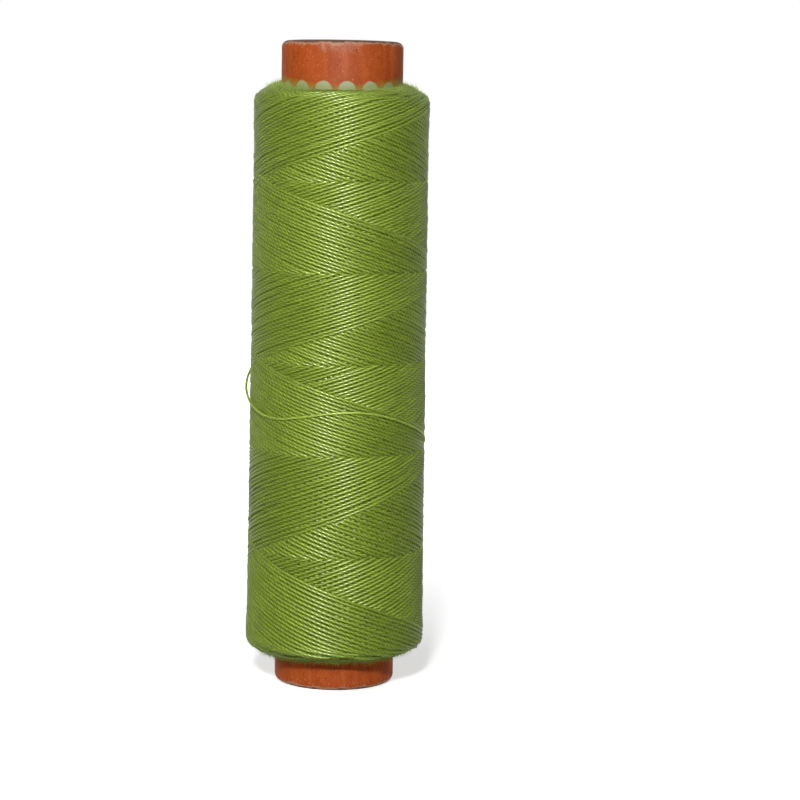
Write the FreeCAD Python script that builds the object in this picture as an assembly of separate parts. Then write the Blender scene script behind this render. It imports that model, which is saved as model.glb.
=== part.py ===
"""A spool of heavy sewing thread on a paper tube, standing on its end.

The tube is rolled from paper plies: a kraft liner, board plies with staggered butt seams, and a coloured
outer wrap that is turned in over the rounded ends. The thread is cross-wound on it. Its mass is one plain
body, and the turns that show on its surface run up and down over that body as one tube.
Sizes are in millimetres. +Z runs along the tube and the origin is the centre of its lower end.
"""

import FreeCAD
import Part

import itertools
import math
import os

from FreeCAD import Vector

# Paper tube
TUBE_LENGTH = 89.0
BORE_DIAMETER = 12.7
LINER_THICKNESS = 0.30
BOARD_THICKNESS = 0.395
BOARD_NAMES = ["inner_board_ply", "second_board_ply", "third_board_ply", "outer_board_ply"]
WRAP_THICKNESS = 0.12
END_ROUNDING = 0.75
WRAP_TURN_IN_DEG = 55.0

# Upright butt seams of the rolled plies
PLY_SEAM_GAP = 0.25
LINER_SEAM_DEG = 215.0
BOARD_SEAM_STAGGER_DEG = 137.0
WRAP_SEAM_GAP = 0.15
WRAP_SEAM_DEG = 100.0

# Thread, and the depth of its wound mass on the tube
THREAD_DIAMETER = 0.40
LOWER_BARE_LENGTH = 4.3
UPPER_BARE_LENGTH = 6.2
LOWER_BODY_DEPTH = 3.15
UPPER_BODY_DEPTH = 2.95
SHOULDER_RADIUS = 2.5
SHOULDER_DEPTH_SHARE = 0.9
SEAT_CLEARANCE = 0.05

# Surface turns: strokes up the package in one layer, strokes down in a layer over it
DOUBLE_STROKES = 4
TURNS_PER_STROKE = 2.875
REVERSAL_INSET = 3.4
LAYER_GAP = 0.44
ARCS_PER_TURN = 4
START_DEG = 70.0
START_SET_BACK_TURNS = 0.1875
END_RUN_TURNS = 0.0625

# Slack turn: its stations round the package as (turned from +X in degrees, height, rise off the other turns)
SLACK_STATIONS = [
    (118.0, 47.2, 0.00),
    (138.0, 46.2, 0.15),
    (158.0, 44.4, 0.45),
    (181.0, 41.4, 0.80),
    (204.0, 38.6, 0.35),
    (227.0, 37.6, 0.05),
    (250.0, 38.1, 0.00),
    (273.0, 38.8, 0.00),
    (296.0, 38.5, 0.00),
    (319.0, 37.2, 0.00),
    (342.0, 35.4, 0.00),
    (365.0, 33.3, 0.00),
    (388.0, 31.0, 0.00),
]

# Measuring a tube's least gap to itself
GAP_SAMPLE_STEP = 0.5
GAP_NEIGHBOUR_LENGTH = 4.0

LINER_OUTER_RADIUS = BORE_DIAMETER / 2 + LINER_THICKNESS
BOARD_OUTER_RADIUS = LINER_OUTER_RADIUS + len(BOARD_NAMES) * BOARD_THICKNESS
WRAP_OUTER_RADIUS = BOARD_OUTER_RADIUS + WRAP_THICKNESS
BODY_BOTTOM = LOWER_BARE_LENGTH
BODY_TOP = TUBE_LENGTH - UPPER_BARE_LENGTH
THREAD_RADIUS = THREAD_DIAMETER / 2
LAYER_STEP = THREAD_DIAMETER + LAYER_GAP


def body_radius(height):
    """Radius of the thread body's side at a height: a slight taper from its foot to its top."""
    share = (height - BODY_BOTTOM) / (BODY_TOP - BODY_BOTTOM)
    return WRAP_OUTER_RADIUS + LOWER_BODY_DEPTH + share * (UPPER_BODY_DEPTH - LOWER_BODY_DEPTH)


def lay_radius(height, layer):
    """Radius of the middle of a thread that lies on the body, or in the layer over that."""
    return body_radius(height) + SEAT_CLEARANCE + THREAD_RADIUS + layer * LAYER_STEP


def polar(radius, angle, height):
    return Vector(radius * math.cos(angle), radius * math.sin(angle), height)


# Paper tube pieces


def rounded_rod(radius, length, rounding):
    """A solid rod along Z whose two end edges are rounded."""
    rod = Part.makeCylinder(radius, length)
    ends = [edge for edge in rod.Edges if abs(edge.Length - 2 * math.pi * radius) < 1e-6]
    return rod.makeFillet(rounding, ends)


def open_seam(ring, gap, seam_deg):
    """A rolled ply with its upright butt seam left open by a gap."""
    seam = Part.makeBox(2 * WRAP_OUTER_RADIUS, gap, TUBE_LENGTH)
    seam.translate(Vector(0, -gap / 2, 0))
    seam.rotate(Vector(0, 0, 0), Vector(0, 0, 1), seam_deg)
    return ring.cut(seam)


def ply(inner, outer, envelope, seam_deg):
    """One ply: a ring trimmed by the tube's rounded outer form and open at its own seam."""
    ring = envelope.cut(Part.makeCylinder(inner, TUBE_LENGTH))
    ring = ring.common(Part.makeCylinder(outer, TUBE_LENGTH))
    return open_seam(ring, PLY_SEAM_GAP, seam_deg)


def wrap(envelope):
    """The coloured outer paper, turned in over both rounded ends and open at its seam."""
    skin = rounded_rod(WRAP_OUTER_RADIUS, TUBE_LENGTH, END_ROUNDING + WRAP_THICKNESS)
    edge_radius = BOARD_OUTER_RADIUS - END_ROUNDING * (1 - math.cos(math.radians(WRAP_TURN_IN_DEG)))
    skin = skin.cut(Part.makeCylinder(edge_radius, TUBE_LENGTH)).cut(envelope)
    return open_seam(skin, WRAP_SEAM_GAP, WRAP_SEAM_DEG)


# Thread pieces


def biarc(start, start_way, end, end_way):
    """Two arcs that leave start along start_way and reach end along end_way, meeting in line."""
    chord = end - start
    ways = start_way + end_way
    a = 4 - ways.dot(ways)
    b = 2 * chord.dot(ways)
    c = chord.dot(chord)
    reach = (math.sqrt(b * b + 4 * a * c) - b) / (2 * a) if a > 1e-9 else c / b
    first = start + start_way * reach
    second = end - end_way * reach
    meeting = (first + second) * 0.5
    return [arc(start, first, meeting), arc(meeting, second, end)]


def arc(start, corner, end):
    """The arc from start to end whose end tangents meet at corner, or the line where they are in line."""
    middle = (start + end) * 0.5
    half_chord = start.distanceToPoint(middle)
    rise = corner.distanceToPoint(middle)
    if rise < 1e-7 * half_chord:
        return Part.LineSegment(start, end).toShape()
    leg = math.hypot(half_chord, rise)
    crown = middle + (corner - middle) * (half_chord / (leg + half_chord))
    return Part.Arc(start, crown, end).toShape()


def root(point, way, sense):
    """How an end of the thread bends into the body: foot of the bend, landing and way inward."""
    bend = math.hypot(point.x, point.y) - body_radius(point.z) - THREAD_DIAMETER
    foot = point + way * (sense * bend)
    inward = Vector(-foot.x, -foot.y, 0).normalize()
    landing = foot + inward * (math.hypot(foot.x, foot.y) - body_radius(foot.z))
    return landing - inward * THREAD_DIAMETER, landing, inward


def thread_tube(points, ways):
    """One unbroken tube of thread along biarcs through the points, with both ends turned into the body."""
    foot, landing, inward = root(points[0], ways[0], -1)
    points = [landing, foot] + points
    ways = [-inward, -inward] + ways
    foot, landing, inward = root(points[-1], ways[-1], 1)
    points += [foot, landing]
    ways += [inward, inward]
    edges = []
    for i in range(len(points) - 1):
        edges += biarc(points[i], ways[i], points[i + 1], ways[i + 1])
    spine = Part.Wire(edges)
    section = Part.Wire(Part.Circle(points[0], ways[0], THREAD_RADIUS).toShape())
    return spine.makePipeShell([section], True, False), spine


def least_gap(spine):
    """The least open distance between parts of one tube that aren't neighbours along it."""
    line = spine.discretize(Number=int(spine.Length / GAP_SAMPLE_STEP))
    cells = {}
    cell = 2 * THREAD_DIAMETER + LAYER_GAP
    for i, p in enumerate(line):
        cells.setdefault((int(p.x // cell), int(p.y // cell), int(p.z // cell)), []).append(i)
    least = cell
    steps = list(itertools.product((-1, 0, 1), repeat=3))
    for key, members in cells.items():
        around = [j for step in steps for j in cells.get(tuple(k + d for k, d in zip(key, step)), [])]
        for i in members:
            for j in around:
                if (j - i) * GAP_SAMPLE_STEP > GAP_NEIGHBOUR_LENGTH:
                    least = min(least, line[i].distanceToPoint(line[j]))
    return least - THREAD_DIAMETER


def thread_body():
    """The wound mass of the thread: a thick, slightly tapering sleeve with round shoulders."""
    outline = Part.makePolygon([
        Vector(WRAP_OUTER_RADIUS, 0, BODY_BOTTOM),
        Vector(body_radius(BODY_BOTTOM), 0, BODY_BOTTOM),
        Vector(body_radius(BODY_TOP), 0, BODY_TOP),
        Vector(WRAP_OUTER_RADIUS, 0, BODY_TOP),
        Vector(WRAP_OUTER_RADIUS, 0, BODY_BOTTOM),
    ])
    body = Part.Face(outline).revolve(Vector(0, 0, 0), Vector(0, 0, 1), 360)
    depth = min(LOWER_BODY_DEPTH, UPPER_BODY_DEPTH)
    middle = WRAP_OUTER_RADIUS + depth / 2
    rims = [edge for edge in body.Edges if edge.Closed and edge.BoundBox.XMax > middle]
    return body.makeFillet(min(SHOULDER_RADIUS, SHOULDER_DEPTH_SHARE * depth), rims)


def surface_turns():
    """The outer turns: strokes up lie on the body, strokes down cross them in the outer layer."""
    low = BODY_BOTTOM + REVERSAL_INSET
    high = BODY_TOP - REVERSAL_INSET
    straight_turns = TURNS_PER_STROKE - 1 / ARCS_PER_TURN
    climb = (high - low) / straight_turns
    steps = round(straight_turns * ARCS_PER_TURN)
    points = []
    ways = []

    def add(stroke, turns):
        """A station so many turns into a stroke; even strokes run down in the outer layer."""
        angle = math.radians(START_DEG) + 2 * math.pi * (stroke * TURNS_PER_STROKE + turns)
        outer = stroke % 2 == 0
        height = high - climb * turns if outer else low + climb * turns
        radius = lay_radius(height, 1 if outer else 0)
        points.append(polar(radius, angle, height))
        rise = -climb if outer else climb
        ways.append(Vector(-math.sin(angle), math.cos(angle), rise / (2 * math.pi * radius)).normalize())

    for stroke in range(2 * DOUBLE_STROKES):
        for i in range(steps + 1):
            first = stroke == 0 and i == 0
            add(stroke, START_SET_BACK_TURNS if first else i * straight_turns / steps)
    add(2 * DOUBLE_STROKES, 0)
    add(2 * DOUBLE_STROKES, END_RUN_TURNS)
    return thread_tube(points, ways)


def slack_turn():
    """One loose turn that bows away from the package at one side and lies over the other turns."""
    points = []
    for degrees, height, rise in SLACK_STATIONS:
        radius = lay_radius(height, 1) + THREAD_DIAMETER + SEAT_CLEARANCE + rise
        points.append(polar(radius, math.radians(degrees), height))
    ways = [(points[1] - points[0]).normalize()]
    ways += [(points[i + 1] - points[i - 1]).normalize() for i in range(1, len(points) - 1)]
    ways.append((points[-1] - points[-2]).normalize())
    return thread_tube(points, ways)


def main():
    os.makedirs("parts", exist_ok=True)
    envelope = rounded_rod(BOARD_OUTER_RADIUS, TUBE_LENGTH, END_ROUNDING)
    pieces = {"liner_ply": ply(BORE_DIAMETER / 2, LINER_OUTER_RADIUS, envelope, LINER_SEAM_DEG)}
    for i, name in enumerate(BOARD_NAMES):
        inner = LINER_OUTER_RADIUS + i * BOARD_THICKNESS
        seam_deg = LINER_SEAM_DEG + (i + 1) * BOARD_SEAM_STAGGER_DEG
        pieces[name] = ply(inner, inner + BOARD_THICKNESS, envelope, seam_deg)
    pieces["outer_wrap"] = wrap(envelope)
    pieces["thread_body"] = thread_body()
    for name, make in (("surface_turns", surface_turns), ("slack_turn", slack_turn)):
        pieces[name], spine = make()
        area = math.pi * THREAD_RADIUS**2
        print(f"{name}: length {spine.Length:.1f} mm, least gap to itself {least_gap(spine):.2f} mm,"
              f" volume over section times length {pieces[name].Volume / (area * spine.Length):.4f}")
    for name, shape in pieces.items():
        shape.exportStep(os.path.join("parts", name + ".step"))
        print(name, "valid" if shape.isValid() else "NOT VALID", len(shape.Solids), round(shape.Volume, 2))


main()
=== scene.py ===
# %% [markdown]
# A spool of sewing thread: a straight paper tube with yellow-green thread cross-wound on it. Both ends of
# the tube stand bare past the thread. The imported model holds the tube's plies and plain bodies for the
# thread. This script gives the tube its paper and winds the outer cover of the package turn by turn.

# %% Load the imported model
import math

import bpy
import numpy as np
from mathutils import Matrix, Vector


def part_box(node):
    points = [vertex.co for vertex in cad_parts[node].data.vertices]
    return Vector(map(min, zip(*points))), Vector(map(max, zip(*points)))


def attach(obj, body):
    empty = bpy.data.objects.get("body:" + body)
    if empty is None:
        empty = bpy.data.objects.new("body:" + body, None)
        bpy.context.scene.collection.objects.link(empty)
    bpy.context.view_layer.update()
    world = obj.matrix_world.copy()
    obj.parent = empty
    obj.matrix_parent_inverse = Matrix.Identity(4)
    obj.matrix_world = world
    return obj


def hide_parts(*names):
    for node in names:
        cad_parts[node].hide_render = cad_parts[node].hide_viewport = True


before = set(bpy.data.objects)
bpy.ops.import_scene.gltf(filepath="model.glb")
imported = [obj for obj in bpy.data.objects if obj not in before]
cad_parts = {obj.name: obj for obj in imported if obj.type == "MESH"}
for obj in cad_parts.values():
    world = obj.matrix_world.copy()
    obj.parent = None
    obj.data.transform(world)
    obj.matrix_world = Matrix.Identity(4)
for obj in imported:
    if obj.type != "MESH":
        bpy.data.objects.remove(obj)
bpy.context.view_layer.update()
MM = 0.001

# %% [markdown]
# Sizes come from the frame. The tube's radius and length and the two ends of the winding are read from the
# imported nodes, so the looks stay on the construction. Lengths are millimetres until a mesh is made.

# %% Sizes
def box_mm(node):
    low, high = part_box(node)
    return np.array(low) / MM, np.array(high) / MM


_, wrap_high = box_mm("outer_wrap")
_, liner_high = box_mm("liner_ply")
body_low, body_high = box_mm("thread_body")
TUBE_RADIUS = wrap_high[0]
TUBE_LENGTH = liner_high[2]
WINDING_FOOT, WINDING_TOP = body_low[2], body_high[2]
FRONT = math.radians(270.0)
sizes = (TUBE_RADIUS, TUBE_LENGTH, WINDING_FOOT, WINDING_TOP)
print("tube radius and length, winding's foot and top, mm:", [round(float(v), 2) for v in sizes])

# %% [markdown]
# The camera stands where the photograph's camera stood: a third of a metre away, level with the upper part
# of the spool, looking a little down, with a long lens. Its place follows from the widths and heights of
# the spool in the picture, so no shift or crop is needed.

# %% Camera
CAMERA_PLACE = (-0.06, -332.58, 78.42)
CAMERA_PITCH_DEG, CAMERA_TURN_DEG, CAMERA_ROLL_DEG = 6.65, -1.508, 1.009
SENSOR_WIDTH = 36.0
FOCAL_PIXELS, PICTURE_PIXELS = 2400.0, 800.0


def new_object(name, data):
    item = bpy.data.objects.new(name, data)
    bpy.context.scene.collection.objects.link(item)
    return item


def make_camera():
    data = bpy.data.cameras.new("camera")
    data.sensor_width = SENSOR_WIDTH
    data.lens = SENSOR_WIDTH * FOCAL_PIXELS / PICTURE_PIXELS
    camera = new_object("camera", data)
    turn = Matrix.Rotation(math.radians(CAMERA_TURN_DEG), 4, "Z")
    tilt = Matrix.Rotation(math.radians(90.0 - CAMERA_PITCH_DEG), 4, "X")
    roll = Matrix.Rotation(math.radians(CAMERA_ROLL_DEG), 4, "Z")
    place = Matrix.Translation([v * MM for v in CAMERA_PLACE])
    camera.matrix_world = place @ turn @ tilt @ roll
    bpy.context.scene.camera = camera
    print("camera", CAMERA_PLACE, "lens", round(data.lens, 1), "mm")


make_camera()

# %% [markdown]
# Four lamps and a faint even world light. The key lamp is above the camera and a little to its left, a weak
# broad one fills from the far left, and another keeps the back from going dark. The last stands beside the
# key and is seen only in gloss: the thread's filaments are hundreds of small mirrors, and one smooth strand
# that stands for them would look like matt string without it. The lamps are high, so a strand glints where
# its own slope meets them: strokes that rise to the right shine right of the middle, and falling ones left.

# %% Lamps
AIM = (0.0, 0.0, 45.0)
# Each lamp has its azimuth and elevation in degrees, its distance and size in mm, and its level.
LAMPS = {
    "key": (-6.0, 27.0, 520.0, 60.0, 0.90),
    "left_fill": (-60.0, 30.0, 560.0, 320.0, 0.15),
    "back_fill": (170.0, 8.0, 560.0, 320.0, 0.55),
    "lustre": (-2.0, 27.0, 520.0, 60.0, 10.5),
}
SWITCHED_OFF = {"left_fill": "visible_glossy", "back_fill": "visible_glossy", "lustre": "visible_diffuse"}


def place_from(azimuth, elevation, distance):
    """A place around AIM: azimuth 0 is the camera's side, and positive azimuth is to the right."""
    turn, rise = math.radians(azimuth), math.radians(elevation)
    flat = distance * math.cos(rise)
    return Vector((flat * math.sin(turn), -flat * math.cos(turn), AIM[2] + distance * math.sin(rise)))


def add_lamp(name, azimuth, elevation, distance, size, level):
    """A round lamp; at level 1 alone, a white surface that faces it renders as written."""
    data = bpy.data.lights.new(name, "AREA")
    data.shape = "DISK"
    data.size = size * MM
    data.energy = level * (math.pi * distance * MM) ** 2
    lamp = new_object(name, data)
    place = place_from(azimuth, elevation, distance)
    lamp.location = place * MM
    lamp.rotation_euler = (Vector(AIM) - place).to_track_quat("-Z", "Y").to_euler()
    if name in SWITCHED_OFF:
        setattr(lamp, SWITCHED_OFF[name], False)


for lamp_name, lamp_values in LAMPS.items():
    add_lamp(lamp_name, *lamp_values)
print("lamps:", ", ".join(LAMPS))

# %% [markdown]
# Materials are node graphs. They could be built by hand in the shader editor, but a few helpers say the same
# in less. A socket given as an input is joined, and a plain value is set on the input.
#
# Most finishes here are a stack of colours, each laid over those below it where its mask shows. A layer is
# a value, the two values between which its mask fades in, how strong it gets, and its colour.

# %% Node helpers
MIX_FACTOR, MIX_A, MIX_B, MIX_RESULT = 0, 6, 7, 2


def new_material(name):
    """A material, its node tree and the Principled shader in it."""
    material = bpy.data.materials.new(name)
    material.use_nodes = True
    return material, material.node_tree, material.node_tree.nodes["Principled BSDF"]


def feed(tree, node, inputs):
    """Joins each socket to its input, and sets each plain value on its own."""
    for key, value in inputs.items():
        if isinstance(value, bpy.types.NodeSocket):
            tree.links.new(value, node.inputs[key])
        else:
            node.inputs[key].default_value = value


def add_node(tree, kind, inputs=None, **settings):
    node = tree.nodes.new("ShaderNode" + kind)
    for name, value in settings.items():
        setattr(node, name, value)
    feed(tree, node, inputs or {})
    return node


def maths(tree, operation, *values):
    return add_node(tree, "Math", dict(enumerate(values)), operation=operation).outputs[0]


def times(tree, value, factor, plus=0.0):
    return maths(tree, "MULTIPLY_ADD", value, factor, plus)


def combined(tree, *values):
    return add_node(tree, "CombineXYZ", dict(enumerate(values))).outputs[0]


def length_of(tree, vector):
    return add_node(tree, "VectorMath", {0: vector}, operation="LENGTH").outputs["Value"]


def noise(tree, vector, scale, **others):
    inputs = {"Vector": vector, "Scale": scale, "Detail": 3.0, "Roughness": 0.6, **others}
    return add_node(tree, "TexNoise", inputs).outputs["Fac"]


def step_mask(tree, value, start, end):
    """A soft mask: 0 where the value is at start, 1 where it is at end."""
    inputs = {"Value": value, "From Min": start, "From Max": end}
    return add_node(tree, "MapRange", inputs, interpolation_type="SMOOTHSTEP").outputs[0]


def blend(tree, factor, a, b, way="MIX"):
    """Mixes two colours by a mask; a plain colour is three numbers."""
    inputs = {MIX_FACTOR: factor}
    for key, value in ((MIX_A, a), (MIX_B, b)):
        inputs[key] = (*value, 1.0) if isinstance(value, tuple) else value
    return add_node(tree, "Mix", inputs, data_type="RGBA", blend_type=way).outputs[MIX_RESULT]


def lay_over(tree, colour, layers):
    """Lays colours over the first one; a layer without a fade is a mask already."""
    for value, fade, strength, other in layers:
        mask = step_mask(tree, value, *fade) if fade else value
        if strength < 1.0:
            mask = times(tree, mask, strength)
        colour = blend(tree, mask, colour, other)
    return colour


def bump(tree, shader, height, depth_mm, strength=1.0):
    inputs = {"Height": height, "Distance": depth_mm * MM, "Strength": strength}
    feed(tree, shader, {"Normal": add_node(tree, "Bump", inputs).outputs[0]})


# %% [markdown]
# The ground and the world are white on each ray that shows the background: straight from the camera, in a
# reflection or through something clear. Other rays find only the faint world light, so the white adds
# nothing to the light on the object. Near the spool the floor takes the lamps' light and shows a soft
# shadow. Further out it turns into the white of the world, so that no horizon shows.

# %% World and floor
WORLD_LEVEL = 0.04
WHITE = (1.0, 1.0, 1.0, 1.0)
FLOOR_SIZE = 6000.0
FLOOR_PAPER = (0.80, 0.80, 0.80, 1.0)
FLOOR_LIFT_NEAR = 0.56
FADE_START, FADE_END = 25.0, 120.0


def seen_rays(tree):
    """1 on rays that show the background: from the camera, or by way of a gloss or a clear material."""
    path = add_node(tree, "LightPath").outputs
    seen = path["Is Camera Ray"]
    for name in ("Is Glossy Ray", "Is Transmission Ray"):
        seen = maths(tree, "MAXIMUM", seen, path[name])
    return seen


def make_world():
    world = bpy.data.worlds.new("studio")
    bpy.context.scene.world = world
    world.use_nodes = True
    tree = world.node_tree
    tree.nodes.clear()
    sides = {0: seen_rays(tree)}
    for side, level in ((1, WORLD_LEVEL), (2, 1.0)):
        sides[side] = add_node(tree, "Background", {"Color": WHITE, "Strength": level}).outputs[0]
    add_node(tree, "OutputWorld", {"Surface": add_node(tree, "MixShader", sides).outputs[0]})


def make_floor():
    bpy.ops.mesh.primitive_plane_add(size=FLOOR_SIZE * MM, location=(0, 0, 0))
    floor = bpy.context.object
    floor.name = "floor"
    material, tree, shader = new_material("floor_white")
    away = length_of(tree, add_node(tree, "TexCoord").outputs["Object"])
    fade_inputs = {"From Min": FADE_START * MM, "From Max": FADE_END * MM, "To Min": FLOOR_LIFT_NEAR}
    fade = add_node(tree, "MapRange", {"Value": away, **fade_inputs}).outputs[0]
    lift = times(tree, seen_rays(tree), fade)
    feed(tree, shader, {"Base Color": FLOOR_PAPER, "Roughness": 0.9, "Specular IOR Level": 0.0})
    feed(tree, shader, {"Emission Color": WHITE, "Emission Strength": lift})
    floor.data.materials.append(material)


make_world()
make_floor()
bpy.context.scene.view_settings.view_transform = "Standard"
print("white world, lit at", WORLD_LEVEL, "and a floor of", FLOOR_SIZE / 1000, "m")

# %% [markdown]
# The thread is plied, so its surface is a row of small slanted humps. Their pattern runs along the thread,
# not through space, so it is drawn in the strand's own UV map: U is the length along the thread in
# centimetres and V goes once round it. Each ply is a wave in V that moves on with U. The humps bend the
# shading and catch a glint each. The valleys between them are a little darker, as painted shade, and the
# tops of the crests paler, as a painted sheen. Along its length the thread also grows slightly lighter and
# darker, as dyed spun thread does.
#
# The gloss has two layers. The lower one is broad and yellow-green, because light that gets in between the
# filaments comes back dyed. The coat is narrower and white, and a mask keeps it on the crests of the humps,
# where single filaments mirror the lamp. V also tells how far a place faces out of the package: the flanks,
# between two strands, have no coat, and a purer, lighter green is painted on them as painted light, for the
# light that comes through the thread beside them.

# %% Thread finish
UV_PER_MM = 0.1
PLY_COUNT = 3.0
HUMP_LENGTH, HUMP_DEPTH = 0.72, 0.040
FIBRE_SCALE, SLUB_SCALE = 55.0, 1.6
FIBRE_SPREAD = 0.16
FIBRE_ON_HUMP, FIBRE_BUMP = 0.5, 0.12
THREAD_CREST = (0.132, 0.184, 0.012)
# painted shade: the darker colour of the valleys between the humps
THREAD_VALLEY_SHADE = (0.088, 0.130, 0.001)
# painted sheen: a paler colour on the tops of the crests
THREAD_PAINTED_SHEEN = (0.186, 0.240, 0.070)
# painted light: a purer, lighter green on the flanks, for light through the thread beside them
THREAD_FLANK_GLOW = (0.148, 0.232, 0.000)
# The loose turn's colours are painted light: paler copies of the thread's, for the light it catches.
LOOSE_LIT_CREST = (0.285, 0.375, 0.060)
LOOSE_LIT_VALLEY_SHADE = (0.200, 0.270, 0.020)
THREAD_PALE = (1.12, 1.08, 1.20)
THREAD_DULL = (0.86, 0.88, 0.78)
FLANK_FADE, GLINT_FADE = (0.65, 0.05), (0.45, 1.10)
CREST_ROUGHNESS, FLANK_ROUGHER, FIBRE_ROUGHER = 0.50, 0.22, 0.20
THREAD_SHADER = {
    "IOR": 1.25,
    "Specular IOR Level": 1.0,
    "Specular Tint": (0.72, 1.0, 0.16, 1.0),
    "Coat Roughness": 0.35,
    "Coat IOR": 1.26,
    "Subsurface Weight": 0.60,
    "Subsurface Radius": (1.0, 1.0, 0.3),
    "Subsurface Scale": 0.22 * MM,
}


def along_and_around(tree):
    """How far along the strand a place is, and how far round it, from the strand's UV map."""
    uv = add_node(tree, "UVMap", uv_map="along").outputs["UV"]
    split = add_node(tree, "SeparateXYZ", {0: uv}).outputs
    return split["X"], split["Y"]


def thread_relief(tree, along, around):
    """Each ply's hump, the single fibres on it, and how far out a place is with both together."""
    humps = times(tree, along, 1.0 / (HUMP_LENGTH * UV_PER_MM))
    phase = maths(tree, "SUBTRACT", times(tree, around, PLY_COUNT), humps)
    hump = maths(tree, "ABSOLUTE", maths(tree, "COSINE", times(tree, phase, math.pi)))
    fibre = noise(tree, combined(tree, along, times(tree, phase, FIBRE_SPREAD)), FIBRE_SCALE)
    low_hump = maths(tree, "SUBTRACT", hump, FIBRE_ON_HUMP / 2)
    return hump, fibre, times(tree, fibre, FIBRE_ON_HUMP, low_hump)


def thread_material(name, crest_colour, valley_shade_colour):
    material, tree, shader = new_material(name)
    along, around = along_and_around(tree)
    hump, fibre, raised = thread_relief(tree, along, around)
    slub = noise(tree, combined(tree, along), SLUB_SCALE)
    outward = maths(tree, "COSINE", times(tree, around, 2 * math.pi))
    flank = step_mask(tree, outward, *FLANK_FADE)
    # Painted shade in the valleys, a painted sheen on the crest tops and painted light on the flanks.
    layers = [
        (raised, (0.10, 0.90), 1.0, crest_colour),
        (raised, (0.85, 1.15), 1.0, THREAD_PAINTED_SHEEN),
        (flank, None, 1.0, THREAD_FLANK_GLOW),
    ]
    tint = lay_over(tree, THREAD_DULL, [(slub, (0.30, 0.70), 1.0, THREAD_PALE)])
    colour = blend(tree, 1.0, lay_over(tree, valley_shade_colour, layers), tint, "MULTIPLY")
    matt = times(tree, fibre, FIBRE_ROUGHER, times(tree, flank, FLANK_ROUGHER, CREST_ROUGHNESS))
    facing_out = maths(tree, "SUBTRACT", 1.0, flank)
    glint = times(tree, step_mask(tree, raised, *GLINT_FADE), facing_out)
    feed(tree, shader, {"Base Color": colour, "Roughness": matt, "Coat Weight": glint, **THREAD_SHADER})
    bump(tree, shader, times(tree, fibre, FIBRE_BUMP, hump), HUMP_DEPTH)
    return material


thread_finish = thread_material("thread_yellow_green", THREAD_CREST, THREAD_VALLEY_SHADE)
# a painted-lit copy of the thread's finish for the loose turn, which stands proud of the package
loose_lit_finish = thread_material("loose_thread_painted_lit", LOOSE_LIT_CREST, LOOSE_LIT_VALLEY_SHADE)
print("thread finish:", len(thread_finish.node_tree.nodes), "nodes")

# %% [markdown]
# Hundreds of turns have no primitive to start from, so a strand is made by code: a ring of corners is
# carried along a line of points, one corner always facing out from the spool's axis. The function takes many
# strands at once, closes both ends of each and writes the UV map that the finish reads.

# %% Strand maker
def outward_at(theta):
    """The direction out of the spool's axis at each angle."""
    return np.stack([np.cos(theta), np.sin(theta), np.zeros(len(theta))], -1)


def length_along(points):
    return np.concatenate([[0.0], np.cumsum(np.linalg.norm(np.diff(points, axis=0), axis=1))])


def strand_rings(points, outward, radii, sides, flatness):
    """The corners of one strand, ring after ring."""
    tangent = np.gradient(points, axis=0)
    tangent /= np.linalg.norm(tangent, axis=1)[:, None]
    normal = outward - tangent * np.sum(outward * tangent, axis=1)[:, None]
    normal /= np.linalg.norm(normal, axis=1)[:, None]
    side = np.cross(tangent, normal)
    turn = 2 * np.pi * np.arange(sides) / sides
    out_part = flatness * np.cos(turn)[None, :, None] * normal[:, None, :]
    ring = out_part + np.sin(turn)[None, :, None] * side[:, None, :]
    return (points[:, None, :] + radii[:, None, None] * ring).reshape(-1, 3)


def strand_faces(count, sides, length, base):
    """The faces of one strand: four-sided ones along it and a cap at each end, with their UV corners."""
    i, j = np.meshgrid(np.arange(count - 1), np.arange(sides), indexing="ij")
    cap = np.arange(sides)
    ring = np.concatenate([np.stack([i, i, i + 1, i + 1], -1).ravel(), np.repeat([0, count - 1], sides)])
    corner = np.concatenate([np.stack([j, j + 1, j + 1, j], -1).ravel(), cap[::-1], cap])
    totals = np.concatenate([np.full(i.size, 4), [sides, sides]])
    uvs = np.stack([length[ring] * UV_PER_MM, corner / sides], -1)
    return base + ring * sides + corner % sides, totals, uvs


def strands_to_mesh(name, strands, sides, material, flatness=1.0):
    """One mesh of closed strands; each is (points, outward directions, radii, length at its first point)."""
    parts, base = [], 0
    for points, outward, radii, start in strands:
        rings = strand_rings(points, outward, radii, sides, flatness)
        parts.append((rings, *strand_faces(len(points), sides, length_along(points) + start, base)))
        base += len(rings)
    corners, loops, totals, uvs = [np.concatenate(column) for column in zip(*parts)]
    mesh = bpy.data.meshes.new(name)
    mesh.vertices.add(len(corners))
    mesh.vertices.foreach_set("co", (corners * MM).astype(np.float32).ravel())
    mesh.loops.add(len(loops))
    mesh.loops.foreach_set("vertex_index", loops.astype(np.int32))
    mesh.polygons.add(len(totals))
    mesh.polygons.foreach_set("loop_start", np.concatenate([[0], np.cumsum(totals)[:-1]]).astype(np.int32))
    mesh.polygons.foreach_set("loop_total", totals.astype(np.int32))
    mesh.polygons.foreach_set("use_smooth", np.ones(len(totals), bool))
    mesh.uv_layers.new(name="along").data.foreach_set("uv", uvs.astype(np.float32).ravel())
    mesh.update(calc_edges=True)
    mesh.validate()
    mesh.materials.append(material)
    print(name, len(strands), "strands,", int(np.sum(totals - 2)), "triangles")
    return new_object(name, mesh)


def seat(piece, slot, *nodes):
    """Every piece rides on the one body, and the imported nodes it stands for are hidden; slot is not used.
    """
    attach(piece, "root")
    if nodes:
        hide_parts(*nodes)


# %% [markdown]
# The form of the package is the same for every layer of thread. Its side is slightly conical, swells a
# little beside each shoulder, and then rolls over to the tube. The roll is given as points: how far below
# the winding's end, and how far in from its side. Close to the tube the winding ends higher or lower from
# place to place, because the thread's turning points were never level.

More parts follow.
